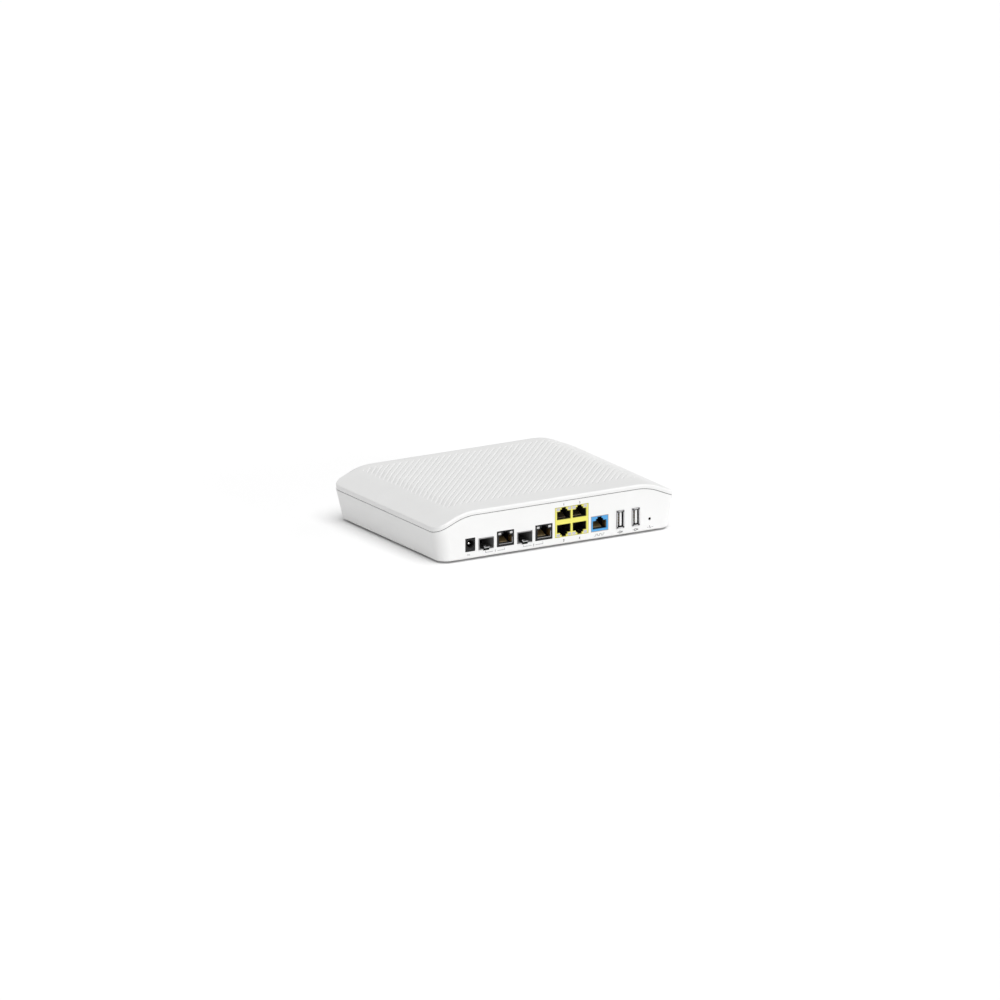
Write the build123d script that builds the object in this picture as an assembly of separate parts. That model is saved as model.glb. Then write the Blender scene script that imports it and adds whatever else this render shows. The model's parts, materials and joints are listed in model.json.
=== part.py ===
from build123d import *
import math
import os

os.makedirs("parts", exist_ok=True)

# Case coordinates, in millimetres: X from the middle of the case, Y inward from
# the port face, Z up from the underside. place() moves them to the part's frame.

# ---- Case -------------------------------------------------------------------
width = 230.0               # across the ports, at the seam
depth = 170.0               # port face to front face, at the seam
foot_height = 1.7           # gap between the underside and the desk
wall = 2.2
corner_radius = 10.5
side_lean = 4.75            # how far each side leans in at the underside
front_lean = 3.5
bottom_round = 1.6
top_round = 1.4
shoulder_run = 37.7         # where the level top turns down, in from each side
slope_run = 18.5            # where that curve becomes a straight slope to the side
seam_level = 36.3           # seam height between the shoulders
seam_arc = 49.8             # radius of the seam where it turns down
cover_rise = 4.1            # top surface above the seam
seam_gap = 0.5
lip_width = 1.0
lip_height = 1.6

shoulder_x = width / 2 - shoulder_run
fall = math.asin((shoulder_run - slope_run) / seam_arc)     # angle of the straight slope
seam_side = seam_level - seam_arc * (1 - math.cos(fall)) - slope_run * math.tan(fall)

# ---- Board ------------------------------------------------------------------
board_low = 4.6
board_thick = 1.6
board_top = board_low + board_thick
board_size = (212.0, 156.0)
board_front_y = 2.8
fit = 0.2                   # gap round a connector in its opening
behind_wall = wall + 0.2    # first depth at which a part clears the port wall

# ---- Connectors along the port face -----------------------------------------
dc_x = -82.7
cage_x = (-67.5, -30.7)
combo_x = (-49.1, -12.4)
lan_x = 14.2
lan_pitch = 15.0
console_x = 40.9
usb_x = (60.7, 75.5)
reset_x = 88.8
reset_z = 9.9

dc_size = (9.2, 14.4, 11.1)
dc_bore_z = 12.5
dc_bore_r = 3.15
dc_pin_r = 1.05
dc_shank = 1.2              # square end of the pin, where the housing holds it
cage_size = (14.3, 47.0, 9.6)
cage_sheet = 0.35
latch_width = 5.2
latch_slot = 5.8            # clear width for the latch in the cage, wall and board
latch_root = 12.0           # depth at which the latch joins the cage floor
latch_rise = 1.5            # how high the sprung latch stands off the floor
latch_lip = 0.8             # height of its turned-down end, in front of the wall
latch_reach = 0.9           # how far that end stands out of the port face
combo_size = (16.1, 21.3, 13.0)
lan_size = (31.7, 26.0, 25.2)
console_size = (16.3, 18.0, 13.0)
usb_size = (7.3, 18.5, 14.3)
usb_sheet = 0.3
usb_flare = 0.4             # how far the mouth stands above and below the shell
bezel = 1.0                 # thickness of a coloured connector front

# A modular jack's opening is three steps: plug, shoulder, latch tab. A coloured
# front's first step is larger, which leaves a lead-in round the plug space.
jack_steps = ((12.2, 6.8), (7.2, 1.6), (4.3, 1.6))
lead_in = 0.4
front_steps = ((13.2, 6.8 + lead_in), *jack_steps[1:])
jack_depth = 13.0
jack_floor = 8.5            # plug space above the underside, in a single jack
wire_count = 8
wire_pitch = 1.016
wire_size = 0.46
window = (3.2, 2.4)         # face of a jack's light pipe

port_face_y = latch_reach - (depth + latch_reach) / 2

# ---- Repeated places, as (X, Y) on the plan ---------------------------------
foot_places = [(x, y) for x in (-88.0, 88.0) for y in (20.0, 146.0)]
post_places = [(x, y) for x in (-97.0, 97.0) for y in (30.0, 136.0)]
case_screw_places = [(x, y) for x in (-70.0, 70.0) for y in (64.0, 148.0)]
key_places = [(x, 30.0) for x in (-52.0, 52.0)]
status_places = [(i - 2.5) * 12.0 for i in range(6)]    # X of each front light


def slab(x, w, y0, y1, z0, z1):
    """Box centred on x, w wide, between two depths and two heights."""
    return Pos(x, (y0 + y1) / 2, (z0 + z1) / 2) * Box(w, y1 - y0, z1 - z0)


def rod(x, y, z0, z1, r):
    """Upright cylinder between two heights."""
    return Pos(x, y, (z0 + z1) / 2) * Cylinder(r, z1 - z0)


def rod_in(x, z, y0, y1, r):
    """Cylinder lying along the depth, between two depths."""
    return Pos(x, (y0 + y1) / 2, z) * Rot(90, 0, 0) * Cylinder(r, y1 - y0)


def side_profile(x, w, points):
    """Prism w wide, centred on x, from (depth, height) points."""
    face = make_face(Plane.YZ * Polyline(*points, close=True))
    return Pos(x, 0, 0) * extrude(face, amount=w / 2, both=True)


def merged(shapes):
    """One shape from many touching or overlapping solids."""
    first, *rest = shapes
    return first.fuse(*rest) if rest else first


def place(name, *shapes):
    """Move one node's solids into the part's frame and write its STEP file."""
    solids = [s for shape in shapes for s in shape.solids()]
    moved = [Pos(0, port_face_y, foot_height) * s for s in solids]
    export_step(Compound(children=moved), f"parts/{name}.step")


# ---- Case surfaces ----------------------------------------------------------
def under_roof(rise):
    """Everything below the seam's surface moved out square to itself by rise."""
    level = seam_level + rise
    radius = seam_arc + rise
    centre_z = level - radius

    def on_curve(angle):
        return (shoulder_x + radius * math.sin(angle), centre_z + radius * math.cos(angle))

    bend = on_curve(fall)
    run = width / 2 + 4 - bend[0]
    end = (bend[0] + run, bend[1] - run * math.tan(fall))
    half = [Line((0, level), (shoulder_x, level)),
            ThreePointArc((shoulder_x, level), on_curve(fall / 2), bend),
            Line(bend, end), Polyline(end, (end[0], -5), (0, -5), (0, level))]
    right = extrude(make_face(Plane.XZ * Curve(half)), amount=depth / 2 + 5, both=True)
    return Pos(0, depth / 2, 0) * (right + mirror(right, about=Plane.YZ))


def outline(z, inset):
    """The case's plan at one height, drawn in by inset."""
    lean = max(0.0, 1 - z / seam_side)
    front = depth - front_lean * lean - inset
    w = width - 2 * (side_lean * lean + inset)
    shape = RectangleRounded(w, front - inset, corner_radius - inset)
    return Pos(0, (front + inset) / 2, z) * shape


def envelope(inset, floor_z):
    """Leaning lower walls and upright upper walls, open-ended above."""
    leaning = loft([outline(floor_z, inset), outline(seam_side, inset)])
    upright = extrude(outline(seam_side, inset), amount=40)
    return leaning + upright


def in_roof(edge):
    """True for lines along the depth within the roof, where its curve changes."""
    runs_back = edge.bounding_box().size.Y > depth / 2
    return runs_back and abs(edge.center().X) < width / 2 - 5


def rounded_shell():
    """The whole case as one solid, with its top and bottom edges rounded."""
    body = envelope(0, 0) & under_roof(cover_rise)
    high = [e for e in body.edges() if e.bounding_box().min.Z > seam_side + 1]
    rim = [e for e in high if not in_roof(e)]
    body = fillet(rim, top_round)
    base = [e for e in body.edges() if e.bounding_box().max.Z < 0.01]
    return fillet(base, bottom_round)


def ring(outer_inset, inner_inset):
    """Upright band between two plan outlines, over the upper walls' height."""
    start = Pos(0, 0, -6)
    outer = extrude(start * outline(seam_side, outer_inset), amount=40)
    inner = extrude(start * outline(seam_side, inner_inset), amount=40)
    return outer - inner


def port_openings():
    """Openings in the port wall, each a little larger than its connector."""
    through = (-1.0, wall + 0.1)

    def hole(x, size, low):
        w, _, h = size
        return slab(x, w + 2 * fit, *through, low - fit, low + h + fit)

    cuts = [hole(dc_x, dc_size, board_top), hole(lan_x, lan_size, board_top),
            hole(console_x, console_size, board_top)]
    cuts += [hole(x, cage_size, board_top) for x in cage_x]
    cuts += [slab(x, latch_slot, *through, board_top - 1.1, board_top) for x in cage_x]
    cuts += [hole(x, combo_size, board_top) for x in combo_x]
    w, d, h = usb_size
    cuts += [hole(x, (w, d, h + 2 * usb_flare), board_top - usb_flare) for x in usb_x]
    cuts.append(rod_in(reset_x, reset_z, *through, 1.25))
    return cuts


def vents():
    """Two fields of slots through the underside."""
    slot = SlotOverall(26, 2.0)
    cuts = []
    for side in (-1, 1):
        for row in range(9):
            at = Pos(side * 40, 60 + row * 5.5, -1)
            cuts.append(at * extrude(slot, amount=wall + 2))
    return cuts


def keyholes():
    """Two wall-mount keyholes in the underside, heads towards the port face."""
    cuts = []
    for x, y in key_places:
        cuts.append(rod(x, y, -1, wall + 1, 4.0))
        neck = extrude(SlotOverall(14, 4.2, rotation=90), amount=wall + 2)
        cuts.append(Pos(x, y + 5, -1) * neck)
    return cuts


def status_holes(grow):
    """Holes in the front wall for the pegs of the front light pipe."""
    return [slab(x, 2.0 + grow, depth - 9, depth + 1, 14 - grow / 2, 16 + grow / 2)
            for x in status_places]


def make_case():
    """Lower case and top cover from one rounded solid, split at the seam."""
    shell = rounded_shell()
    room = envelope(wall, wall) & under_roof(cover_rise - wall)
    hollow = shell - room
    below = under_roof(0)
    below_gap = under_roof(seam_gap)
    below_lip = under_roof(lip_height)
    lip = (ring(wall - lip_width, wall) & below_lip) & shell
    lower = (hollow & below) + lip
    lower -= merged(port_openings())
    for cut in vents() + keyholes() + status_holes(0.3):
        lower -= cut
    for x, y in post_places:
        lower += rod(x, y, wall - 0.5, board_low, 3.5)
        lower -= rod(x, y, 1.2, board_low, 1.1)
    for x, y in case_screw_places:
        lower += rod(x, y, wall - 0.5, board_low - 0.2, 5.0)
        lower -= rod(x, y, -1, 5, 1.6) + rod(x, y, -1, 3.0, 3.4)
    below_room = under_roof(lip_height + 0.05)
    lip_room = ring(wall - lip_width - 0.05, wall + 0.05) & below_room
    cover = (hollow - below_gap) - lip_room
    for x, y in case_screw_places:
        boss = rod(x, y, board_top + 0.4, seam_level + cover_rise - wall + 0.3, 3.6)
        cover += boss - rod(x, y, board_top, board_top + 12, 1.15)
    return lower, cover, shell


# ---- Connectors -------------------------------------------------------------
def socket(x, edge_z, latch, y0, y1, steps=jack_steps):
    """Modular jack opening from edge_z, its latch notch up (1) or down (-1)."""
    cuts = []
    z = edge_z
    for w, h in steps:
        z_next = z + latch * h
        cuts.append(slab(x, w, y0, y1, min(z, z_next) - 0.01, max(z, z_next)))
        z = z_next
    return merged(cuts)


def jack_windows(x, edge_z, latch, y0, y1):
    """The two light pipes beside a jack's latch notch."""
    w, h = window
    plug_h = jack_steps[0][1]
    near = edge_z + latch * (plug_h + 0.6)
    far = near + latch * h
    return [slab(x + side * 5.45, w, y0, y1, min(near, far), max(near, far))
            for side in (-1, 1)]


def jack_wires(x, edge_z, latch):
    """Eight spring wires rising across the plug space from its plain edge."""
    start = edge_z + latch * 0.15
    end = edge_z + latch * 3.4
    thick = latch * 0.35
    points = [(4.4, start), (10.4, end), (jack_depth, end), (jack_depth, end + thick),
              (10.2, end + thick), (4.4, start + thick)]
    middle = (wire_count - 1) / 2
    return [side_profile(x + (i - middle) * wire_pitch, wire_size, points)
            for i in range(wire_count)]


def shield(x, size, low, back_gap=0.0):
    """Folded sheet over a jack's top, sides and back, behind the port wall."""
    w, d, h = size
    t = 0.3
    outside = slab(x, w + 2 * t, behind_wall, d + t, low, low + h + t)
    inside = slab(x, w, behind_wall - 1, d, low - 1, low + h)
    return outside - inside


def make_dc_jack():
    w, d, h = dc_size
    bore_back = 10.5
    body = slab(dc_x, w, 0, d, board_top, board_top + h)
    body -= rod_in(dc_x, dc_bore_z, -1, bore_back, dc_bore_r)
    body -= rod_in(dc_x, dc_bore_z, -0.1, 0.5, dc_bore_r + 0.35)
    shank = slab(dc_x, dc_shank, bore_back, d + 0.3,
                 dc_bore_z - dc_shank / 2, dc_bore_z + dc_shank / 2)
    body -= shank
    slot = slab(dc_x, 2.0, 3.0, bore_back, dc_bore_z - dc_bore_r - 0.7, dc_bore_z)
    body -= slot - rod_in(dc_x, dc_bore_z, -1, bore_back, dc_bore_r - 0.4)
    pin = rod_in(dc_x, dc_bore_z, 2.4, bore_back, dc_pin_r)
    pin = fillet(pin.edges().group_by(Axis.Y)[0], 0.5)
    pin += shank
    low = dc_bore_z - dc_bore_r - 0.65
    crest = low + 0.75
    spring = side_profile(dc_x, 1.6, [(3.2, low), (6.5, crest), (10.2, low),
                                      (10.2, low + 0.25), (6.5, crest + 0.25), (3.2, low + 0.25)])
    place("dc_jack_housing", body)
    place("dc_centre_pin", pin)
    place("dc_contact_spring", spring)


def make_cages():
    """Open sheet cages, each with a sprung floor latch hinged at its root."""
    w, d, h = cage_size
    t = cage_sheet
    low = board_top
    for n, x in enumerate(cage_x, start=1):
        inside = slab(x, w - 2 * t, -1, d - t, low + t, low + h - t)
        cage = slab(x, w, -0.5, d, low, low + h) - inside
        cage -= slab(x, latch_slot, -1, latch_root, low - 1, low + t + 0.1)
        cage -= slab(x, w - 2.4, d - 12, d - 0.7, low - 1, low + t + 0.1)
        place(f"sfp_cage_{n}", cage)
        root = latch_root - 0.05
        crest = low + latch_rise
        end = -latch_reach
        tip = crest + t - latch_lip
        tongue = side_profile(x, latch_width, [
            (root, low), (root, low + t), (0.9, crest + t), (end, crest + t),
            (end, tip), (end + t, tip), (end + t, crest), (0.9, crest)])
        barb = side_profile(x, 2.4, [(2.6, crest), (5.4, crest - 0.25), (2.6, crest + 0.45)])
        place(f"sfp_latch_{n}", tongue + barb)
        plug = slab(x, 11.4, d - 10, d - 0.8, low, low + 6.0)
        plug -= slab(x, 9.6, d - 11, d - 3, low + 2.5, low + 3.7)
        place(f"sfp_connector_{n}", plug)


def make_combo_jacks():
    w, d, h = combo_size
    low = board_top
    for n, x in enumerate(combo_x, start=1):
        pipes = jack_windows(x, jack_floor, 1, 0, d - 1.5)
        body = slab(x, w, 0, d, low, low + h) - socket(x, jack_floor, 1, -1, jack_depth)
        for pipe in pipes:
            body -= pipe
        place(f"combo_jack_housing_{n}", body)
        place(f"combo_jack_shield_{n}", shield(x, combo_size, low))
        place(f"combo_jack_wires_{n}", *jack_wires(x, jack_floor, 1))
        place(f"combo_jack_light_pipes_{n}", *pipes)


def make_lan_block():
    w, d, h = lan_size
    low = board_top
    upper_edge = low + 15.0
    lower_edge = low + h - 15.0
    places = [(lan_x + side * lan_pitch / 2, edge, latch)
              for side in (-1, 1) for edge, latch in ((upper_edge, 1), (lower_edge, -1))]
    front = slab(lan_x, w, 0, bezel, low, low + h)
    core = slab(lan_x, w, bezel, d, low, low + h)
    wires = []
    pipes = []
    for x, edge, latch in places:
        front -= socket(x, edge - latch * lead_in, latch, -1, bezel + 1, front_steps)
        core -= socket(x, edge, latch, 0, jack_depth)
        wires += jack_wires(x, edge, latch)
        pipes += jack_windows(x, edge, latch, 0, d - 2)
    for pipe in pipes:
        front -= pipe
        core -= pipe
    place("lan_block_bezel", front)
    place("lan_block_core", core)
    place("lan_block_shield", shield(lan_x, lan_size, low))
    place("lan_block_wires", *wires)
    place("lan_block_light_pipes", *pipes)


def make_console_jack():
    w, d, h = console_size
    low = board_top
    front = slab(console_x, w, 0, bezel, low, low + h)
    core = slab(console_x, w, bezel, d, low, low + h)
    mouth = socket(console_x, jack_floor - lead_in, 1, -1, bezel + 1, front_steps)
    place("console_jack_bezel", front - mouth)
    place("console_jack_core", core - socket(console_x, jack_floor, 1, 0, jack_depth))
    place("console_jack_shield", shield(console_x, console_size, low))
    place("console_jack_wires", *jack_wires(console_x, jack_floor, 1))


def make_usb_sockets():
    w, d, h = usb_size
    t = usb_sheet
    low = board_top
    for n, x in enumerate(usb_x, start=1):
        outside = slab(x, w, 0, d, low, low + h)
        outside = fillet(outside.edges().filter_by(Axis.Y), 0.7)
        mouth = slab(x, w, -0.3, 1.2, low - usb_flare, low + h + usb_flare)
        mouth = fillet(mouth.edges().filter_by(Axis.Y), 0.7)
        shell = (outside + mouth) - slab(x, w - 2 * t, -1, d - t, low + t, low + h - t)
        shell -= slab(x, w - 2 * t, -1, 0.9, low + t - usb_flare, low + h + usb_flare - t)
        place(f"usb_shell_{n}", shell)
        middle = low + h / 2
        tongue = slab(x + 0.75, 1.8, 0.8, d - 6, middle - 5.6, middle + 5.6)
        back = slab(x, w - 2 * t, d - 6, d - t, low + t, low + h - t)
        place(f"usb_tongue_{n}", tongue + back)
        pads = [slab(x - 0.3, 0.3, 1.8, d - 6, middle + off - 0.5, middle + off + 0.5)
                for off in (-3.5, -1.0, 1.0, 3.5)]
        place(f"usb_contacts_{n}", *pads)


def make_reset_switch():
    travel = 0.3
    front = 8.0
    collar_y = front + 0.5
    body = slab(reset_x, 6.0, front, front + 3.6, board_top, board_top + 6.6)
    body -= rod_in(reset_x, reset_z, front - 1, front + 1, 1.25)
    body -= rod_in(reset_x, reset_z, collar_y - 0.05, front + 2.6, 1.6)
    plunger = rod_in(reset_x, reset_z, 0.5, collar_y, 1.05)
    plunger += rod_in(reset_x, reset_z, collar_y, collar_y + 1.0, 1.5)
    dome_y = collar_y + 1.0 + travel + 0.05
    dome = rod_in(reset_x, reset_z, dome_y, dome_y + 0.15, 1.55)
    place("reset_switch_body", body)
    place("reset_plunger", plunger)
    place("reset_snap_dome", dome)


# ---- Board and what stands on it --------------------------------------------
def make_board():
    w, d = board_size
    shape = RectangleRounded(w, d, 8)
    board = Pos(0, board_front_y + d / 2, board_low) * extrude(shape, amount=board_thick)
    for x, y in post_places:
        board -= rod(x, y, 0, 10, 1.7)
    for x in cage_x:
        board -= slab(x, latch_slot, 0, latch_root, 0, 10)
    for x, y in case_screw_places:
        board -= rod(x, y, 0, 10, 5.4)
    place("main_board", board)

    def on_board(x, y, w, d, h, low=board_top):
        return slab(x, w, y - d / 2, y + d / 2, low, low + h)

    chip = (20.0, 92.0)
    soc = on_board(*chip, 23, 23, 1.8)
    pad = on_board(*chip, 20, 20, 0.8, board_top + 1.8)
    sink_low = board_top + 2.6
    sink = on_board(*chip, 44, 44, 2.5, sink_low)
    for i in range(12):
        sink += on_board(chip[0] - 20.9 + i * 3.8, chip[1], 1.0, 44, 10.5, sink_low + 2)
    pegs = []
    for side in (-1, 1):
        x, y = chip[0] + side * 24.5, chip[1] + side * 16
        ear = on_board(x - side * 1.5, y, 7, 7, 1.5, sink_low)
        hole = rod(x, y, sink_low - 1, sink_low + 3, 1.3)
        sink = (sink + ear) - hole
        stem = rod(x, y, board_top, sink_low + 1.5, 1.25)
        pegs.append(stem + rod(x, y, sink_low + 1.5, sink_low + 2.5, 2.2))
    place("soc_chip", soc)
    place("thermal_pad", pad)
    place("heat_sink", sink)
    place("heat_sink_pegs", *pegs)
    place("memory_chips", *[on_board(58, y, 8, 13, 1.1) for y in (82, 100)])
    place("flash_chip", on_board(56, 120, 12, 18, 1.1))
    place("switch_chip", on_board(12, 50, 16, 16, 1.2))
    place("phy_chips", *[on_board(x, 48, 9, 9, 1.0) for x in combo_x])
    place("lan_magnetics", *[on_board(x, 37, 14, 9, 6.0) for x in (-10, 8, 26, 44)])
    cans = []
    for x, y, r, h in ((-98, 56, 5.0, 12.5), (-86, 56, 5.0, 12.5), (-98, 72, 4.0, 11.5)):
        can = rod(x, y, board_top, board_top + h, r)
        cans.append(fillet(can.edges().group_by(Axis.Z)[-1], 0.6))
    place("power_capacitors", *cans)
    place("power_inductors", *[on_board(x, 84, 10, 10, 4.5) for x in (-94, -80)])
    crystal = extrude(SlotOverall(10.5, 4.2), amount=3.2)
    place("clock_crystal", Pos(-14, 104, board_top) * crystal)
    place("board_ceramics", *[on_board(-60 + 4.5 * i, 70 + 6 * j, 2.0, 1.2, 1.0)
                              for i in range(6) for j in range(5)])
    led_y = board_front_y + d - 3.0
    place("status_leds", *[on_board(x, led_y, 1.6, 0.8, 0.8) for x in status_places])


def make_light_pipe(shell):
    """Front light guide: a rail with six pegs that end flush with the front."""
    front = depth - 12.5
    rail = slab(0, 70, front, front + 3.5, 13, 17)
    pegs = merged([slab(x, 2.0, front + 1, depth + 1, 14, 16) for x in status_places])
    feet = [slab(x, 3.0, front, front + 3.5, board_top + 0.8, 13.2) for x in status_places]
    return (rail + merged(feet)) + (pegs & shell)


def make_fasteners():
    screws = []
    for x, y in case_screw_places:
        recess = extrude(RegularPolygon(1.3, 6), amount=1.2)
        head = rod(x, y, 1.0, 3.0, 3.0) - Pos(x, y, 0.9) * recess
        screws.append(head + rod(x, y, 2.9, 16.0, 1.15))
    place("case_screws", *screws)
    small = []
    for x, y in post_places:
        head = rod(x, y, board_top, board_top + 1.6, 2.8)
        slot = slab(x, 3.2, y - 0.4, y + 0.4, board_top + 0.8, board_top + 2)
        slot += slab(x, 0.8, y - 1.6, y + 1.6, board_top + 0.8, board_top + 2)
        small.append((head - slot) + rod(x, y, 1.8, board_top + 0.1, 1.1))
    place("board_screws", *small)
    feet = []
    for x, y in foot_places:
        foot = rod(x, y, -foot_height, 0, 6.0)
        feet.append(fillet(foot.edges().group_by(Axis.Z)[0], 0.5))
    place("rubber_feet", *feet)


lower_case, top_cover, whole = make_case()
place("lower_case", lower_case)
place("top_cover", top_cover)
place("status_light_pipe", make_light_pipe(whole))
make_dc_jack()
make_cages()
make_combo_jacks()
make_lan_block()
make_console_jack()
make_usb_sockets()
make_reset_switch()
make_board()
make_fasteners()
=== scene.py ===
import bmesh
import bpy
import json
import math
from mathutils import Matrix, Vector
from mathutils.geometry import delaunay_2d_cdt


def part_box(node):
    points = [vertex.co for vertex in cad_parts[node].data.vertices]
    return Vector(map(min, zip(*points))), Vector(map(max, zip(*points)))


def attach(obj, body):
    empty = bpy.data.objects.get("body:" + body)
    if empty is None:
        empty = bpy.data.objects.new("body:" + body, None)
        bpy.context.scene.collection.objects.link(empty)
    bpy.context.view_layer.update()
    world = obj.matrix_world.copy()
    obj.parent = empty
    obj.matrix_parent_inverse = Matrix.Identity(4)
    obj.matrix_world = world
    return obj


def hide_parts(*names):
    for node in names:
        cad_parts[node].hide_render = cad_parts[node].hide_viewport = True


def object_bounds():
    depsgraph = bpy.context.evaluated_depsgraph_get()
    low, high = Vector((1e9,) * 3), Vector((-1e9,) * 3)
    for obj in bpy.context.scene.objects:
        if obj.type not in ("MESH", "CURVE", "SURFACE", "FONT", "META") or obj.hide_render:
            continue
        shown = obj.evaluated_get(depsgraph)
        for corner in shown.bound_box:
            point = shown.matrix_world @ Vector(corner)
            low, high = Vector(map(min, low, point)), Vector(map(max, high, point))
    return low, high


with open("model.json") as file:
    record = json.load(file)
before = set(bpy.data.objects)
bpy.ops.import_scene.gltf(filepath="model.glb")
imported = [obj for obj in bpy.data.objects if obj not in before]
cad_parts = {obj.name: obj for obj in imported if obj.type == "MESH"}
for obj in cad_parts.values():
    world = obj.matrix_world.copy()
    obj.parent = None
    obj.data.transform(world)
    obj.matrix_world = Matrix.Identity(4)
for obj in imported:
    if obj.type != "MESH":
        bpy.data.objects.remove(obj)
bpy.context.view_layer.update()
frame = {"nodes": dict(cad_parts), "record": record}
NODES = frame["nodes"]
MM = 0.001

# ---- Places -----------------------------------------------------------------------
# Case millimetres: X from the middle, Y inward from the port face, Z up from the
# underside of the case. at() turns them into the frame's metres.
CASE_LOW, CASE_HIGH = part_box("lower_case")
COVER_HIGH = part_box("top_cover")[1]
PORT_FACE = CASE_LOW.y / MM
UNDERSIDE = CASE_LOW.z / MM
WIDTH = (CASE_HIGH.x - CASE_LOW.x) / MM
DEPTH = (CASE_HIGH.y - CASE_LOW.y) / MM
TOP_LEVEL = (COVER_HIGH.z - CASE_LOW.z) / MM
CORNER_RADIUS = 10.5
SHOULDER_X = WIDTH / 2 - 37.7
COVER_RISE = 4.1
SEAM_LEVEL = TOP_LEVEL - COVER_RISE
SEAM_ARC = 49.8
FALL = math.asin((37.7 - 18.5) / SEAM_ARC)      # angle of the straight slope to each side
SEAM_GAP = 0.5
LIP_HEIGHT = 1.6
WALL = 2.2
TOP_ROUND = 1.4


def at(x, y, z):
    """A place in the frame, in metres, from case millimetres."""
    return Vector((x, y + PORT_FACE, z + UNDERSIDE)) * MM


def node_box(name):
    """A CAD node's lowest and highest corners, in case millimetres."""
    low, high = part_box(name)
    shift = Vector((0, PORT_FACE, UNDERSIDE))
    return low / MM - shift, high / MM - shift


# ---- Materials ----------------------------------------------------------------------
NOISE_LOW, NOISE_HIGH = 0.3, 0.7        # most of a noise lies between these


class Recipe:
    """A node material whose colour, roughness and grain come from noise in space."""

    def __init__(self, name, colour, roughness, metallic=0.0, specular=0.5, coat=0.0):
        self.material = bpy.data.materials.new(name)
        self.material.use_nodes = True
        self.tree = self.material.node_tree
        self.shader = self.tree.nodes["Principled BSDF"]
        self.colour = colour
        self.roughness = roughness
        self.shader.inputs["Metallic"].default_value = metallic
        self.shader.inputs["Specular IOR Level"].default_value = specular
        self.shader.inputs["Coat Weight"].default_value = coat
        self.space = self.tree.nodes.new("ShaderNodeTexCoord").outputs["Object"]

    def link(self, source, target):
        self.tree.links.new(source, target)

    def noise(self, size_mm, detail=3.0, stretch=(1, 1, 1)):
        """Noise with features about size_mm across, drawn out along an axis by stretch."""
        place = self.tree.nodes.new("ShaderNodeMapping")
        place.inputs["Scale"].default_value = stretch
        self.link(self.space, place.inputs["Vector"])
        node = self.tree.nodes.new("ShaderNodeTexNoise")
        node.inputs["Scale"].default_value = 1 / (size_mm * MM)
        node.inputs["Detail"].default_value = detail
        self.link(place.outputs["Vector"], node.inputs["Vector"])
        return node.outputs["Fac"]

    def spread(self, source, low, high):
        """The useful range of a noise, stretched to run from low to high."""
        node = self.tree.nodes.new("ShaderNodeMapRange")
        node.inputs["From Min"].default_value = NOISE_LOW
        node.inputs["From Max"].default_value = NOISE_HIGH
        node.inputs["To Min"].default_value = low
        node.inputs["To Max"].default_value = high
        self.link(source, node.inputs["Value"])
        return node.outputs["Result"]

    def tint(self, source, amount):
        """Colour that drifts by amount with the noise, from darker to lighter."""
        mix = self.tree.nodes.new("ShaderNodeMix")
        mix.data_type = "RGBA"
        dark = [c * (1 - amount) for c in self.colour]
        light = [min(1.0, c * (1 + amount)) for c in self.colour]
        mix.inputs["A"].default_value = (*dark, 1)
        mix.inputs["B"].default_value = (*light, 1)
        self.link(self.spread(source, 0, 1), mix.inputs["Factor"])
        self.link(mix.outputs["Result"], self.shader.inputs["Base Color"])

    def gloss(self, source, amount):
        """Roughness that drifts by amount with the noise."""
        rough = self.spread(source, self.roughness - amount, self.roughness + amount)
        self.link(rough, self.shader.inputs["Roughness"])

    def bump(self, source, height_mm, strength=1.0):
        """Fine relief, height_mm high, that follows the noise."""
        node = self.tree.nodes.new("ShaderNodeBump")
        node.inputs["Strength"].default_value = strength
        node.inputs["Distance"].default_value = height_mm * MM
        self.link(source, node.inputs["Height"])
        self.link(node.outputs["Normal"], self.shader.inputs["Normal"])


def moulded(name, colour, roughness=0.45, grain=0.35, depth=0.01, drift=0.012, specular=0.5):
    """Injection-moulded plastic: fine spark-eroded grain and a faint drift of colour."""
    r = Recipe(name, colour, roughness, specular=specular)
    r.tint(r.noise(28, 2), drift)
    fine = r.noise(grain, 2)
    r.gloss(r.noise(grain * 6, 3), 0.05)
    r.bump(fine, depth)
    return r.material


def sheet_metal(name, colour, roughness=0.3, stretch=(1, 12, 12), drift=0.06):
    """Rolled sheet: streaks along the rolling direction and small dull patches."""
    r = Recipe(name, colour, roughness, metallic=1.0)
    streaks = r.noise(1.2, 4, stretch)
    r.tint(r.noise(4, 3), drift)
    r.gloss(streaks, 0.1)
    r.bump(streaks, 0.004)
    return r.material


def circuit_board(name):
    """Solder mask over copper: green, with lighter right-angled tracks."""
    r = Recipe(name, (0.02, 0.16, 0.07), 0.35, coat=0.3)
    brick = r.tree.nodes.new("ShaderNodeTexBrick")
    brick.inputs["Color1"].default_value = (0.018, 0.15, 0.06, 1)
    brick.inputs["Color2"].default_value = (0.03, 0.2, 0.09, 1)
    brick.inputs["Mortar"].default_value = (0.05, 0.3, 0.13, 1)
    brick.inputs["Scale"].default_value = 60
    brick.inputs["Mortar Size"].default_value = 0.03
    r.link(r.space, brick.inputs["Vector"])
    r.link(brick.outputs["Color"], r.shader.inputs["Base Color"])
    r.gloss(r.noise(3, 3), 0.06)
    r.bump(brick.outputs["Fac"], 0.03, 0.5)
    return r.material


def milky(name, colour):
    """Frosted clear plastic of a light pipe."""
    r = Recipe(name, colour, 0.28)
    r.shader.inputs["Transmission Weight"].default_value = 0.25
    r.tint(r.noise(1.5, 2), 0.03)
    r.gloss(r.noise(0.6, 2), 0.05)
    r.bump(r.noise(0.3, 2), 0.004)
    return r.material


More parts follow.
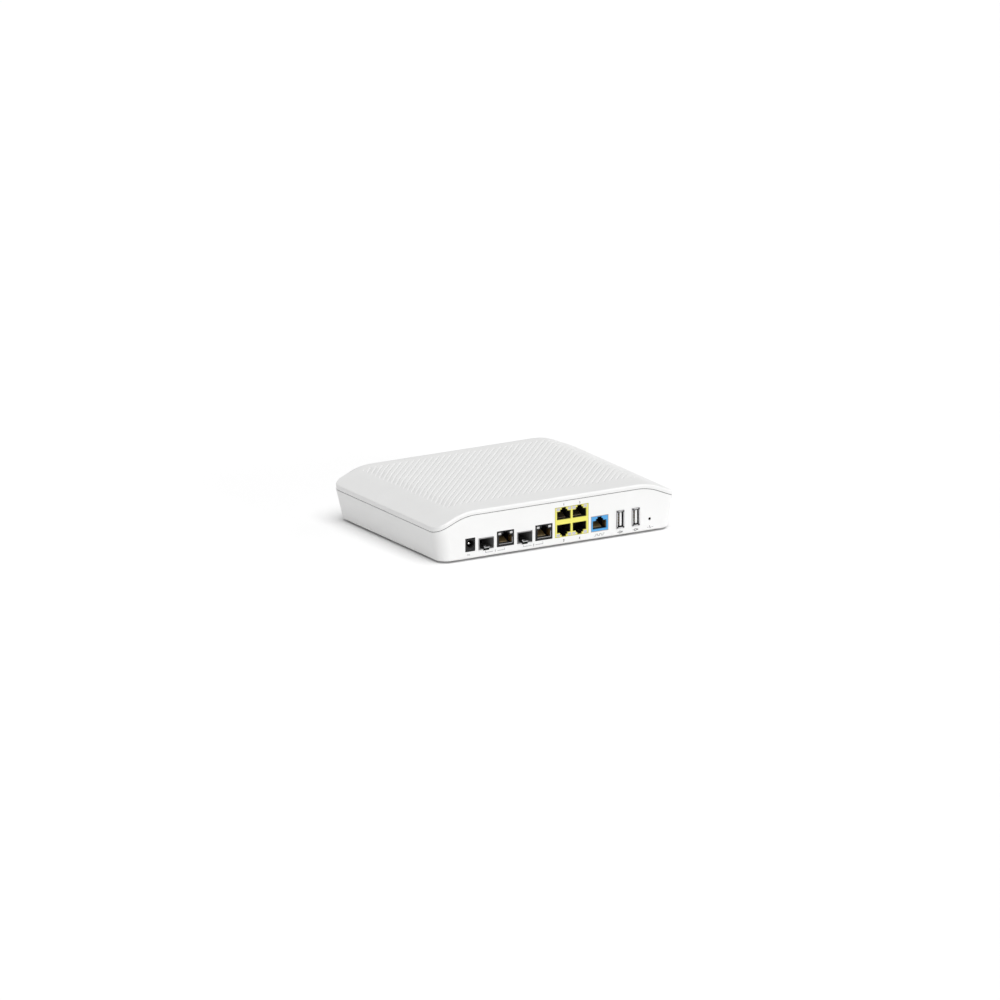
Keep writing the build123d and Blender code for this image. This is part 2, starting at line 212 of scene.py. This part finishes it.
def soft_rubber(name, colour):
    """Matt rubber, blotchy and finely pitted."""
    r = Recipe(name, colour, 0.8, specular=0.25)
    r.tint(r.noise(2.5, 4), 0.12)
    r.gloss(r.noise(0.8, 3), 0.08)
    r.bump(r.noise(0.25, 3), 0.03)
    return r.material


def ink(name, colour):
    """Pad-printed ink: matt, thinner in places."""
    r = Recipe(name, colour, 0.7, specular=0.2)
    r.tint(r.noise(0.5, 3), 0.1)
    r.gloss(r.noise(0.4, 2), 0.08)
    r.bump(r.noise(0.15, 2), 0.002)
    return r.material


MATERIALS = {
    "case_white": moulded("case_plastic", (0.80, 0.80, 0.795), 0.42),
    "cover_white": moulded("cover_plastic", (0.785, 0.785, 0.78), 0.38, grain=0.5, depth=0.012),
    "connector_black": moulded("black_plastic", (0.008, 0.008, 0.0085), 0.55, 0.25, 0.02, 0.2,
                               0.25),
    "reset_black": moulded("plunger_plastic", (0.004, 0.004, 0.004), 0.6, 0.2, 0.01, 0.1, 0.1),
    "connector_yellow": moulded("yellow_plastic", (0.76, 0.72, 0.13), 0.5, 0.3, 0.015, 0.03),
    "connector_blue": moulded("blue_plastic", (0.065, 0.34, 0.70), 0.45, 0.3, 0.015, 0.03),
    "light_pipe_clear": milky("milky_clear", (0.66, 0.65, 0.74)),
    "sheet_steel": sheet_metal("tinned_sheet", (0.40, 0.40, 0.405)),
    "pin_nickel": sheet_metal("nickel_pin", (0.75, 0.74, 0.72), 0.15, (8, 1, 8), 0.03),
    "contact_gold": sheet_metal("gilt_wire", (0.70, 0.58, 0.36), 0.4, (8, 1, 8), 0.1),
    "board_green": circuit_board("solder_mask"),
    "chip_black": moulded("chip_resin", (0.02, 0.02, 0.021), 0.6, 0.15, 0.02, 0.15),
    "pad_grey": soft_rubber("gap_pad", (0.35, 0.4, 0.46)),
    "heat_sink_aluminium": sheet_metal("extruded_aluminium", (0.68, 0.69, 0.7), 0.35, (10, 1, 10)),
    "peg_plastic": moulded("nylon", (0.75, 0.75, 0.7), 0.4),
    "capacitor_can": sheet_metal("can_aluminium", (0.55, 0.55, 0.57), 0.28, (1, 1, 10)),
    "ferrite_grey": moulded("ferrite", (0.07, 0.07, 0.075), 0.7, 0.2, 0.03, 0.2),
    "ceramic_tan": moulded("ceramic", (0.45, 0.34, 0.22), 0.5, 0.2, 0.01, 0.15),
    "led_white": moulded("led_body", (0.85, 0.85, 0.72), 0.3, 0.2, 0.005, 0.03),
    "usb_white": moulded("tongue_plastic", (0.86, 0.86, 0.86), 0.4, 0.25, 0.008, 0.02),
    "screw_steel": sheet_metal("zinc_plate", (0.5, 0.5, 0.5), 0.35, (1, 1, 8)),
    "foot_rubber": soft_rubber("foot_rubber", (0.12, 0.12, 0.125)),
}
CARRIER_BROWN = moulded("contact_carrier", (0.62, 0.50, 0.26), 0.5, 0.3, 0.02, 0.05)
# Brown of a side spring, also painted light falling on the front of a jack's right inner wall.
SPRING_BROWN_AND_LIGHT = sheet_metal("side_spring_painted_light", (0.34, 0.22, 0.09), 0.45, (8, 1, 8), 0.08)
# Near-black painted shade, used behind the SFP latch slots and inside the USB mouths.
SHADE_BLACK = moulded("painted_shade_black", (0.012, 0.012, 0.013), 0.7, 0.2, 0.02, 0.1, 0.2)
BRIGHT_SHEET = sheet_metal("bright_sheet", (0.46, 0.46, 0.465), 0.5, (6, 6, 6), 0.08)
FINGER_GREY = sheet_metal("finger_sheet", (0.42, 0.42, 0.42), 0.6, (30, 60, 60), 0.5)
# Dark grey painted shade for the deep inside of the SFP cages.
BAY_SHADE_GREY = moulded("bay_painted_shade", (0.17, 0.17, 0.17), 0.8, 0.2, 0.02, 0.1, 0.2)
PRINT_DARK = ink("print_dark", (0.07, 0.07, 0.075))
# Darker olive and brown frames round the connector fronts: painted shade in the gaps round them.
OLIVE_SHADE = moulded("olive_painted_shade", (0.42, 0.39, 0.05), 0.5, 0.3, 0.015, 0.03)
BROWN_SHADE = moulded("brown_painted_shade", (0.30, 0.22, 0.17), 0.5, 0.3, 0.015, 0.03)
CLEAR_WHITE = milky("milky_white", (0.70, 0.70, 0.70))
PRINT_GREY = ink("print_grey", (0.24, 0.24, 0.25))
# Dark grey painted shade for the seam line under the cover.
SEAM_SHADE_GREY = soft_rubber("seam_painted_shade", (0.16, 0.16, 0.165))


def paint_cad_nodes():
    """Every CAD node takes the material of its slot in the record."""
    for row in frame["record"]["subparts"]:
        mesh = NODES[row["node"]].data
        mesh.materials.clear()
        mesh.materials.append(MATERIALS[row["material_slot"]])
    for n in (1, 2):
        NODES[f"combo_jack_light_pipes_{n}"].data.materials[0] = CLEAR_WHITE


# ---- Meshes ---------------------------------------------------------------------------
def add_piece(name, verts, faces, slot, material=None, body="case", sharp=35):
    """A closed mesh from case millimetres, riding on a body."""
    mesh = bpy.data.meshes.new(name)
    mesh.from_pydata([at(*v) for v in verts], [], faces)
    tidy = bmesh.new()
    tidy.from_mesh(mesh)
    bmesh.ops.remove_doubles(tidy, verts=tidy.verts, dist=1e-6)
    bmesh.ops.recalc_face_normals(tidy, faces=tidy.faces)
    tidy.to_mesh(mesh)
    tidy.free()
    mesh.shade_smooth()
    mesh.set_sharp_from_angle(angle=math.radians(sharp))
    mesh.materials.append(material or MATERIALS[slot])
    piece = bpy.data.objects.new(name, mesh)
    bpy.context.scene.collection.objects.link(piece)
    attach(piece, body)
    return piece


def strip(first, second, count):
    """Quads joining two closed rings of count vertices, given their first indices."""
    return [(first + i, first + (i + 1) % count, second + (i + 1) % count, second + i)
            for i in range(count)]


# ---- The cover, with its grooves ---------------------------------------------------
def roof(x, rise):
    """Height of the seam's surface moved out square to itself by rise."""
    radius = SEAM_ARC + rise
    over = abs(x) - SHOULDER_X
    bend = radius * math.sin(FALL)
    height = SEAM_LEVEL + rise
    if over > 0:
        height -= radius - math.sqrt(radius ** 2 - min(over, bend) ** 2)
        height -= max(0.0, over - bend) * math.tan(FALL)
    return height


def roof_slope(x, rise):
    """Slope of that surface across the case, falling to each side."""
    radius = SEAM_ARC + rise
    over = min(max(0.0, abs(x) - SHOULDER_X), radius * math.sin(FALL))
    return -math.copysign(over / math.sqrt(radius ** 2 - over ** 2), x)


def plan_outline(step=3.0, corner_steps=14):
    """The case's plan as (x, y, outward x, outward y), once round."""
    points = []
    half_w = WIDTH / 2 - CORNER_RADIUS
    half_d = DEPTH / 2 - CORNER_RADIUS
    sides = ((1, -1, -90, 2 * half_d), (1, 1, 0, 2 * half_w), (-1, 1, 90, 2 * half_d),
             (-1, -1, 180, 2 * half_w))
    for sx, sy, start, run in sides:
        centre = Vector((sx * half_w, DEPTH / 2 + sy * half_d))
        for i in range(corner_steps + 1):
            a = math.radians(start + 90 * i / corner_steps)
            out = Vector((math.cos(a), math.sin(a)))
            points.append((centre + out * CORNER_RADIUS, out))
        along = Vector((-out.y, out.x))
        corner = points[-1][0]
        count = round(run / step)
        points += [(corner + along * (run * i / count), out) for i in range(1, count)]
    return points


def rim_rings(outline, rise, radius, steps):
    """Rings over the rounded edge between an upright wall and the sloping roof."""
    rings = []
    for k in range(steps + 1):
        ring = []
        for p, out in outline:
            lean = max(0.0, -roof_slope(p.x, rise) * out.x)
            theta = math.atan(lean)
            edge = roof(p.x, rise)
            centre_z = edge + radius * lean - radius / math.cos(theta)
            phi = (math.pi / 2 - theta) * k / steps
            q = p - out * radius * (1 - math.cos(phi))
            inner = p - out * radius * (1 - math.sin(theta))
            miss = roof(inner.x, rise) - (centre_z + radius * math.cos(theta))
            ring.append((q.x, q.y, centre_z + radius * math.sin(phi) + miss * (k / steps) ** 2))
        rings.append(ring)
    return rings


def roof_ring(outline, inset, rise, lift=0.0):
    """A ring at one inset, riding on the roof surface."""
    ring = []
    for p, out in outline:
        q = p - out * inset
        ring.append((q.x, q.y, roof(q.x, rise) + lift))
    return ring


GROOVE_PITCH_X = 5.94
GROOVE_PITCH_Y = 6.47
GROOVE_FIELD = (-90.7, 90.7, 23.4, 159.0)       # left, right, near and far limits
GROOVE_START = 22.38        # depth at which one groove meets the left limit
GROOVE_HALF = 1.05
GROOVE_FLOOR_HALF = 0.12
GROOVE_DEPTH = 0.44


def groove_lines():
    """Centre lines of the diagonal grooves, clipped to their field."""
    left, right, near, far = GROOVE_FIELD
    slope = GROOVE_PITCH_Y / GROOVE_PITCH_X
    first = -int((right - left) / GROOVE_PITCH_X) - 1
    last = int((far - near) / GROOVE_PITCH_Y) + 1
    lines = []
    for k in range(first, last + 1):
        start_y = GROOVE_START + k * GROOVE_PITCH_Y
        x0 = max(left, left + (near - start_y) / slope)
        x1 = min(right, left + (far - start_y) / slope)
        if x1 - x0 > 0.3:
            lines.append((Vector((x0, start_y + (x0 - left) * slope)),
                          Vector((x1, start_y + (x1 - left) * slope))))
    return lines


def stadium(a, b, half, spacing=3.5, cap_steps=6):
    """A slot's outline from a to b, half wide each side, with round ends."""
    along = (b - a).normalized()
    across = Vector((-along.y, along.x))
    length = (b - a).length
    sections = max(1, round(length / spacing))
    points = []
    for centre, way in ((b, 1), (a, -1)):
        for i in range(cap_steps + 1):
            t = math.pi * i / cap_steps - math.pi / 2
            points.append(centre + (along * math.cos(t) + across * math.sin(t)) * half * way)
        start = points[-1]
        for i in range(1, sections):
            points.append(start - along * way * length * i / sections)
    return points


def triangulated(loops, extra):
    """Triangles over nested loops of (x, y, z) points and loose (x, y, z) points."""
    flat, heights, edges = [], [], []
    for loop in loops:
        first = len(flat)
        for i, (x, y, z) in enumerate(loop):
            flat.append(Vector((x, y)))
            heights.append(z)
            edges.append((first + i, first + (i + 1) % len(loop)))
    for x, y, z in extra:
        flat.append(Vector((x, y)))
        heights.append(z)
    verts, _, faces, origin, _, _ = delaunay_2d_cdt(flat, edges, [], 0, 1e-5)
    lifted = [(v.x, v.y, heights[ids[0]]) for v, ids in zip(verts, origin)]
    return lifted, [tuple(f) for f in faces]


def make_cover():
    """The top cover: rounded rim, engraved grooves, and a lipped inner shell."""
    outline = plan_outline()
    n = len(outline)
    rings = [roof_ring(outline, 0.25, SEAM_GAP), roof_ring(outline, 0.07, SEAM_GAP, 0.07),
             roof_ring(outline, 0, SEAM_GAP, 0.25)]
    rings += rim_rings(outline, COVER_RISE, TOP_ROUND, 6)
    field_edge = roof_ring(outline, TOP_ROUND + 0.3, COVER_RISE)

    def on_top(points, drop=0.0):
        return [(p.x, p.y, roof(p.x, COVER_RISE) - drop) for p in points]

    loops = [rings[-1], field_edge]
    for a, b in groove_lines():
        loops.append(on_top(stadium(a, b, GROOVE_HALF)))
        loops.append(on_top(stadium(a, b, GROOVE_FLOOR_HALF), GROOVE_DEPTH))
    margins = []
    left, right, near, far = GROOVE_FIELD
    for row in range(25):
        y = TOP_ROUND + 3 + row * (DEPTH - 2 * TOP_ROUND - 6) / 24
        for i in range(14):
            x = right + 2.2 + i * 1.6
            if x < WIDTH / 2 - TOP_ROUND - 1.5 and abs(y - DEPTH / 2) < DEPTH / 2 - 9:
                margins += [Vector((x, y)), Vector((-x, y))]
    for y in (near - 18, near - 12, near - 6, far + 4):
        for i in range(13):
            x = SHOULDER_X + 0.8 + i * 2
            margins += [Vector((x, y)), Vector((-x, y))]
    top = triangulated(loops, on_top(margins))

    under_rise = COVER_RISE - WALL
    inner = [roof_ring(outline, 1.15, SEAM_GAP), roof_ring(outline, 1.15, LIP_HEIGHT + 0.05),
             roof_ring(outline, WALL + 0.05, LIP_HEIGHT + 0.05),
             roof_ring(outline, WALL + 0.25, under_rise)]
    ribs = [Vector((x, y)) for x in range(-104, 105, 4) for y in range(12, 162, 24)]
    under = triangulated([inner[-1]], [(p.x, p.y, roof(p.x, under_rise)) for p in ribs])

    verts, faces = [], []
    for ring in rings:
        verts += ring
    for k in range(len(rings) - 1):
        faces += strip(k * n, (k + 1) * n, n)
    first_inner = len(verts)
    for ring in inner:
        verts += ring
    faces += strip(first_inner, 0, n)
    for k in range(len(inner) - 1):
        faces += strip(first_inner + (k + 1) * n, first_inner + k * n, n)
    shell = joined([(verts, faces), top, under])
    cover = add_piece("cover_shell", *shell, "cover_white", sharp=24)
    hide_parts("top_cover")


def make_seam_strip():
    """Grey strip that closes the gap under the cover, set back from the wall: painted shade along
    the seam.
    """
    outline = plan_outline()
    n = len(outline)
    verts = []
    for inset, rise in ((0.45, 0.03), (0.45, 0.47), (1.1, 0.47), (1.1, 0.03)):
        verts += roof_ring(outline, inset, rise)
    faces = []
    for k in range(4):
        faces += strip(k * n, (k + 1) % 4 * n, n)
    add_piece("seam_strip", verts, faces, "foot_rubber", SEAM_SHADE_GREY)


# ---- Small pieces from boxes, discs and strips -----------------------------------
def block(x0, x1, y0, y1, z0, z1, ease):
    """Verts and faces of a box with its edges along the depth cut off."""
    def section(y, inset):
        a, b, c, d = x0 + inset, x1 - inset, z0 + inset, z1 - inset
        e = ease
        return [(a + e, y, c), (b - e, y, c), (b, y, c + e), (b, y, d - e),
                (b - e, y, d), (a + e, y, d), (a, y, d - e), (a, y, c + e)]
    rows = section(y0, ease) + section(y0 + ease, 0) + section(y1 - ease, 0) + section(y1, ease)
    faces = strip(0, 8, 8) + strip(8, 16, 8) + strip(16, 24, 8)
    return rows, faces + [tuple(range(8)), tuple(range(24, 32))]


def plate(points, y0, y1):
    """Verts and faces of a flat shape, (x, z) points, between two depths."""
    n = len(points)
    verts = [(x, y0, z) for x, z in points] + [(x, y1, z) for x, z in points]
    return verts, strip(0, n, n) + [tuple(range(n)), tuple(range(n, 2 * n))]


def disc(x, z, r, y0, y1, sides):
    """A round plate between two depths."""
    turns = [2 * math.pi * i / sides for i in range(sides)]
    return plate([(x + r * math.cos(t), z + r * math.sin(t)) for t in turns], y0, y1)


def ring_plate(x, z, r_out, r_in, y0, y1, sides=32, start=0.0, sweep=360.0):
    """A flat ring, or part of one, between two depths."""
    steps = sides if sweep < 360 else sides - 1
    turns = [math.radians(start + sweep * i / sides) for i in range(steps + 1)]
    verts = []
    for y in (y0, y1):
        for r in (r_out, r_in):
            verts += [(x + r * math.cos(t), y, z + r * math.sin(t)) for t in turns]
    m = len(turns)
    pairs = range(m - 1) if sweep < 360 else range(m)
    faces = []
    for a, b in ((0, 1), (1, 3), (3, 2), (2, 0)):
        faces += [(a * m + i, a * m + (i + 1) % m, b * m + (i + 1) % m, b * m + i) for i in pairs]
    if sweep < 360:
        faces += [(0, m, 3 * m, 2 * m), (m - 1, 2 * m - 1, 4 * m - 1, 3 * m - 1)]
    return verts, faces


def border(low, high, outs, depths):
    """A rectangular frame round a box: two offsets from it, between two depths."""
    verts = []
    for y in depths:
        for out in outs:
            verts += [(low.x - out, y, low.z - out), (high.x + out, y, low.z - out),
                      (high.x + out, y, high.z + out), (low.x - out, y, high.z + out)]
    return verts, strip(0, 4, 4) + strip(8, 12, 4) + strip(0, 8, 4) + strip(4, 12, 4)


def joined(parts):
    """One list of verts and faces from several."""
    verts, faces = [], []
    for more_verts, more_faces in parts:
        first = len(verts)
        verts += more_verts
        faces += [tuple(first + i for i in face) for face in more_faces]
    return verts, faces


def ribbon(points, width, y0, y1):
    """A band of one width along a bent line of (x, z) points."""
    line = [Vector(p) for p in points]
    left, right = [], []
    for i, p in enumerate(line):
        before = (p - line[i - 1]).normalized() if i else None
        after = (line[i + 1] - p).normalized() if i + 1 < len(line) else None
        run = ((before or after) + (after or before)).normalized()
        side = Vector((-run.y, run.x))
        reach = width / 2 / max(0.4, run.dot(after or before))
        left.append(tuple(p + side * reach))
        right.append(tuple(p - side * reach))
    return plate(left + right[::-1], y0, y1)


# ---- Inside the connectors ----------------------------------------------------------
def make_jack_details(name, housing, wires, plug_floor, silver):
    """Contact carrier, side spring and lip of a jack with a brown interior; the spring's brown is
    also painted light falling on the front of the right inner wall.
    """
    low, high = node_box(housing)
    x = (low.x + high.x) / 2
    z = plug_floor
    slant = [(0.5, 0.03), (6.2, 3.15), (8.4, 3.15), (8.4, 0.03)]
    start = node_box(wires)[0].y - 0.2
    verts = [(x + side, start + y, z + up) for side in (-4.35, 4.35) for y, up in slant]
    faces = strip(0, 4, 4) + [(0, 1, 2, 3), (4, 5, 6, 7)]
    add_piece(name + "_contact_carrier", verts, faces, "ceramic_tan", CARRIER_BROWN)
    # A real side spring whose brown band, 0.7 to 5.6 mm deep, also paints the light falling on the
    # right inner wall.
    spring = block(x + 5.86, x + 6.06, 0.7, 5.6, z + 0.4, z + 6.2, 0.05)
    catch = block(x + 5.72, x + 5.86, 2.4, 4.6, z + 2.2, z + 4.2, 0.05)
    add_piece(name + "_side_spring_painted_light", *joined([spring, catch]), "contact_gold", SPRING_BROWN_AND_LIGHT)
    if silver:
        windows = []
        for side in (-1, 1):
            a, b = x + side * 5.45 - 1.65, x + side * 5.45 + 1.65
            windows += [block(a, b, -0.1, 0.06, z + 7.35, z + 7.75, 0.04),
                        block(a, b, -0.1, 0.06, z + 9.5, z + 9.85, 0.04),
                        block(a, a + 0.35, -0.1, 0.06, z + 7.75, z + 9.5, 0.04),
                        block(b - 0.35, b, -0.1, 0.06, z + 7.75, z + 9.5, 0.04)]
        add_piece(name + "_window_frames", *joined(windows), "connector_black")
        edge = plate([(x - 6.25, z - 0.36), (x + 6.55, z - 0.36), (x + 6.55, z + 4.6),
                      (x + 6.17, z + 4.6), (x + 6.17, z + 0.02), (x - 6.25, z + 0.02)], -0.12, 0.05)
        add_piece(name + "_front_lip", *edge, "sheet_steel")


def make_bay_details(n):
    """Painted shade inside a cage (dark grey sheets along its walls, roof and floor), its dimples,
    and near-black painted shade behind the latch slot.
    """
    low, high = node_box(f"sfp_cage_{n}")
    x = (low.x + high.x) / 2
    left, right = low.x + 0.4, high.x - 0.4
    floor, top, back = low.z + 0.4, high.z - 0.4, high.y - 0.4
    t = 0.16
    # Dark grey sheets along the cage's walls, roof and floor: painted shade of its deep inside.
    parts = [block(left, left + t, 0.7, back, floor, top, 0.03),
             block(right - t, right, 0.7, back, floor, top, 0.03),
             block(left + t, right - t, 0.7, back, top - t, top, 0.03),
             block(left + t, x - 3.05, 0.7, 12.6, floor, floor + t, 0.03),
             block(x + 3.05, right - t, 0.7, 12.6, floor, floor + t, 0.03),
             block(left + t, right - t, 12.6, back - 12.5, floor, floor + t, 0.03)]
    add_piece(f"sfp_bay_painted_shade_{n}", *joined(parts), "connector_black", BAY_SHADE_GREY)
    dimples = []
    for y, z in ((11.0, 7.9), (17.6, 8.3)):
        verts = [(right - t - 0.14, y, z)]
        for r, out in ((0.3, 0.1), (0.48, -0.01)):
            verts += [(right - t - out, y + r * math.cos(a), z + r * math.sin(a))
                      for a in (math.pi * i / 8 for i in range(16))]
        faces = [(0, 1 + i, 1 + (i + 1) % 16) for i in range(16)] + strip(1, 17, 16)
        dimples.append((verts, faces + [tuple(range(17, 33))]))
    add_piece(f"sfp_bay_dimples_{n}", *joined(dimples), "sheet_steel")
    # Near-black walls and floor behind the latch slot: painted shade.
    shade = [block(x - 2.82, x - 2.68, 0.1, 2.1, low.z - 1.05, low.z - 0.05, 0.03),
             block(x + 2.68, x + 2.82, 0.1, 2.1, low.z - 1.05, low.z - 0.05, 0.03),
             block(x - 2.82, x + 2.82, 0.1, 2.1, low.z - 1.08, low.z - 0.98, 0.03)]
    add_piece(f"sfp_latch_painted_shade_{n}", *joined(shade), "connector_black", SHADE_BLACK)


def make_bezel_edge(name, material, slot):
    """A thin darker frame round a coloured connector front: painted shade in the gap round it."""
    low, high = node_box(name)
    shade_frame = border(low, high, (0.17, -0.22), (-0.07, 0.2))
    add_piece(name + "_edge", *shade_frame, slot, material)


def make_usb_details(n):
    """Bright flange round the mouth, near-black painted shade at its corners, side fingers, and
    near-black painted shade along the inside top and bottom of the mouth.
    """
    low, high = node_box(f"usb_shell_{n}")
    x = (low.x + high.x) / 2
    half_width = high.x - x
    front = low.y - 0.16        # of the flange
    flange = border(low, high, (0.1, -0.95), (front, low.y + 0.04))
    add_piece(f"usb_flange_{n}", *flange, "sheet_steel", BRIGHT_SHEET)
    wall = x - half_width
    inside = block(wall + 0.42, wall + 0.5, 0.2, 9.0, low.z + 0.8, high.z - 0.8, 0.03)
    add_piece(f"usb_side_fingers_{n}", *inside, "sheet_steel", FINGER_GREY)
    # Near-black discs at the flange's four corners: painted shade.
    corner_shades = [disc(x + side * (half_width - 0.85), z, 0.72, front - 0.05, front + 0.04, 20)
             for side in (-1, 1) for z in (low.z + 0.85, high.z - 0.85)]
    add_piece(f"usb_corner_painted_shade_{n}", *joined(corner_shades), "connector_black", SHADE_BLACK)
    # Near-black strips along the inside top and bottom of the mouth: painted shade.
    inner = half_width - 0.75
    mouth_shades = [block(x - inner, x + inner, 1.3, 12, low.z + 0.75, low.z + 0.95, 0.04),
            block(x - inner, x + inner, 1.3, 12, high.z - 0.95, high.z - 0.75, 0.04)]
    add_piece(f"usb_mouth_painted_shade_{n}", *joined(mouth_shades), "connector_black", SHADE_BLACK)


# ---- Generic marks on the port face ------------------------------------------------
MARK = (-0.06, 0.03)        # depths between which every mark stands
DIGITS = {
    1: [[(-0.28, 0.42), (0.02, 0.75), (0.02, -0.75)]],
    2: [[(-0.4, 0.45), (-0.22, 0.72), (0.22, 0.72), (0.4, 0.4), (-0.4, -0.7), (0.45, -0.7)]],
    3: [[(-0.38, 0.7), (0.38, 0.7), (0.0, 0.12), (0.36, -0.08), (0.36, -0.5), (0.15, -0.7),
         (-0.4, -0.7)]],
    4: [[(0.18, -0.75), (0.18, 0.75), (-0.42, -0.3), (0.45, -0.3)]],
}


def digit(value, x, z, size, width):
    """The strokes of one numeral about (x, z)."""
    return [ribbon([(x + a * size, z + b * size) for a, b in line], width, *MARK)
            for line in DIGITS[value]]


def make_marks():
    """Numbers, brackets and plain pictograms below and above the connectors."""
    add_piece("mark_direct_current", *joined(
        [ribbon([(-85.8, 3.85), (-83.0, 3.85)], 0.34, *MARK)]
        + [ribbon([(-85.8 + i * 1.05, 3.0), (-85.1 + i * 1.05, 3.0)], 0.34, *MARK)
           for i in range(3)]), "case_white", PRINT_GREY)
    for n, (start, level, gap_from, gap_to, end) in enumerate(
            ((-68.3, 3.3, -61.0, -56.7, -50.0), (-32.0, 3.1, -24.2, -20.4, -13.4)), start=1):
        lines = [ribbon([(start, 4.8), (start, level), (gap_from, level)], 0.3, *MARK),
                 ribbon([(gap_to, level), (end, level), (end, 4.8)], 0.3, *MARK)]
        lines += digit(n, (gap_from + gap_to) / 2, level, 1.2, 0.32)
        add_piece(f"mark_bracket_{n}", *joined(lines), "case_white", PRINT_GREY)
    for value, x, z in ((1, 6.6, 33.4), (3, 21.7, 33.4), (2, 6.6, 3.1), (4, 21.7, 3.1)):
        number = digit(value, x, z, 1.15, 0.34)
        add_piece(f"mark_port_{value}", *joined(number), "case_white", PRINT_DARK)
    wave = [(35.6, 2.4), (37.3, 2.4), (37.3, 3.9), (39.0, 3.9), (39.0, 2.4), (40.7, 2.4),
            (40.7, 3.9), (42.4, 3.9), (42.4, 2.4), (44.1, 2.4), (44.1, 3.9), (45.6, 3.9)]
    add_piece("mark_serial", *ribbon(wave, 0.32, *MARK), "case_white", PRINT_GREY)
    for n, x in enumerate((60.4, 75.2), start=1):
        plug = [ribbon([(x - 2.7, 2.6), (x - 0.9, 2.6)], 0.34, *MARK),
                ribbon([(x + 0.8, 1.85), (x - 0.9, 1.85), (x - 0.9, 3.35), (x + 0.8, 3.35),
                        (x + 0.8, 1.68)], 0.34, *MARK),
                block(x + 1.15, x + 2.6, *MARK, 2.05, 2.45, 0.02),
                block(x + 1.15, x + 2.6, *MARK, 2.75, 3.15, 0.02)]
        add_piece(f"mark_plug_{n}", *joined(plug), "case_white", PRINT_DARK)
    around = ring_plate(89.3, 2.9, 1.0, 0.68, *MARK, 20, 120, 290)
    head = plate([(88.3, 3.2), (89.25, 3.85), (88.3, 4.3)], *MARK)
    dashes = [ribbon([(86.4, 2.9), (87.6, 2.9)], 0.34, *MARK),
              ribbon([(91.0, 2.9), (92.2, 2.9)], 0.34, *MARK)]
    add_piece("mark_restart", *joined([around, head] + dashes), "case_white", PRINT_GREY)


# ---- Camera, floor and light --------------------------------------------------------
CAMERA_AZIMUTH, CAMERA_ELEVATION = math.radians(-30.68), math.radians(15.39)
CAMERA_DISTANCE = 34.3      # metres, far enough to flatten the view
AIM_RIGHT, AIM_UP = 3.6 * MM, 1.0 * MM      # shift of the part in the picture
FLOOR_HALF = 6.0            # metres
WORLD_LIGHT = 0.41
SUNS = (("key", 6, 74, 60, 2.03), ("front", 20, 6, 20, 0.95), ("side", 95, 8, 20, 0.5))


def aim(obj, place, target):
    """Puts an object in a place, looking at a target."""
    obj.location = place
    obj.rotation_euler = (target - place).to_track_quat("-Z", "Y").to_euler()


def make_camera():
    """A very long lens looking down the port side from its left end."""
    azimuth, elevation = CAMERA_AZIMUTH, CAMERA_ELEVATION
    low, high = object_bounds()
    middle = (low + high) / 2
    back = Vector((math.sin(azimuth) * math.cos(elevation),
                   -math.cos(azimuth) * math.cos(elevation), math.sin(elevation)))
    right = Vector((math.cos(azimuth), math.sin(azimuth), 0))
    up = back.cross(right)
    target = middle - right * AIM_RIGHT - up * AIM_UP
    data = bpy.data.cameras.new("camera")
    data.lens = 1500
    data.clip_end = 100
    camera = bpy.data.objects.new("camera", data)
    bpy.context.scene.collection.objects.link(camera)
    aim(camera, target + back * CAMERA_DISTANCE, target)
    bpy.context.scene.camera = camera


def sun(name, azimuth, elevation, spread, strength):
    """A distant light; azimuth 0 shines straight onto the port face."""
    data = bpy.data.lights.new(name, "SUN")
    data.energy = strength
    data.angle = math.radians(spread)
    light = bpy.data.objects.new(name, data)
    bpy.context.scene.collection.objects.link(light)
    a, e = math.radians(azimuth), math.radians(elevation)
    aim(light, Vector((math.sin(a) * math.cos(e), -math.cos(a) * math.cos(e), math.sin(e))),
        Vector((0, 0, 0)))


def make_stage():
    """White floor, even white surroundings and three suns."""
    mesh = bpy.data.meshes.new("floor")
    s = FLOOR_HALF
    mesh.from_pydata([(-s, -s, 0), (s, -s, 0), (s, s, 0), (-s, s, 0)], [], [(0, 1, 2, 3)])
    floor = bpy.data.objects.new("floor", mesh)
    bpy.context.scene.collection.objects.link(floor)
    material = bpy.data.materials.new("floor")
    material.use_nodes = True
    shader = material.node_tree.nodes["Principled BSDF"]
    shader.inputs["Base Color"].default_value = (0.95, 0.95, 0.95, 1)
    shader.inputs["Roughness"].default_value = 0.9
    shader.inputs["Specular IOR Level"].default_value = 0.1
    mesh.materials.append(material)
    world = bpy.data.worlds.new("studio")
    world.use_nodes = True
    world.node_tree.nodes["Background"].inputs["Color"].default_value = (1, 1, 1, 1)
    world.node_tree.nodes["Background"].inputs["Strength"].default_value = WORLD_LIGHT
    bpy.context.scene.world = world
    for settings in SUNS:
        sun(*settings)
    bpy.context.scene.view_settings.view_transform = "Standard"


make_camera()
make_stage()
paint_cad_nodes()
make_cover()
make_seam_strip()
for n in (1, 2):
    make_jack_details(f"combo_jack_{n}", f"combo_jack_housing_{n}", f"combo_jack_wires_{n}",
                      8.5, True)
    make_bay_details(n)
    make_usb_details(n)
make_jack_details("console_jack", "console_jack_core", "console_jack_wires", 8.5, False)
make_bezel_edge("lan_block_bezel", OLIVE_SHADE, "connector_yellow")
make_bezel_edge("console_jack_bezel", BROWN_SHADE, "connector_blue")
make_marks()
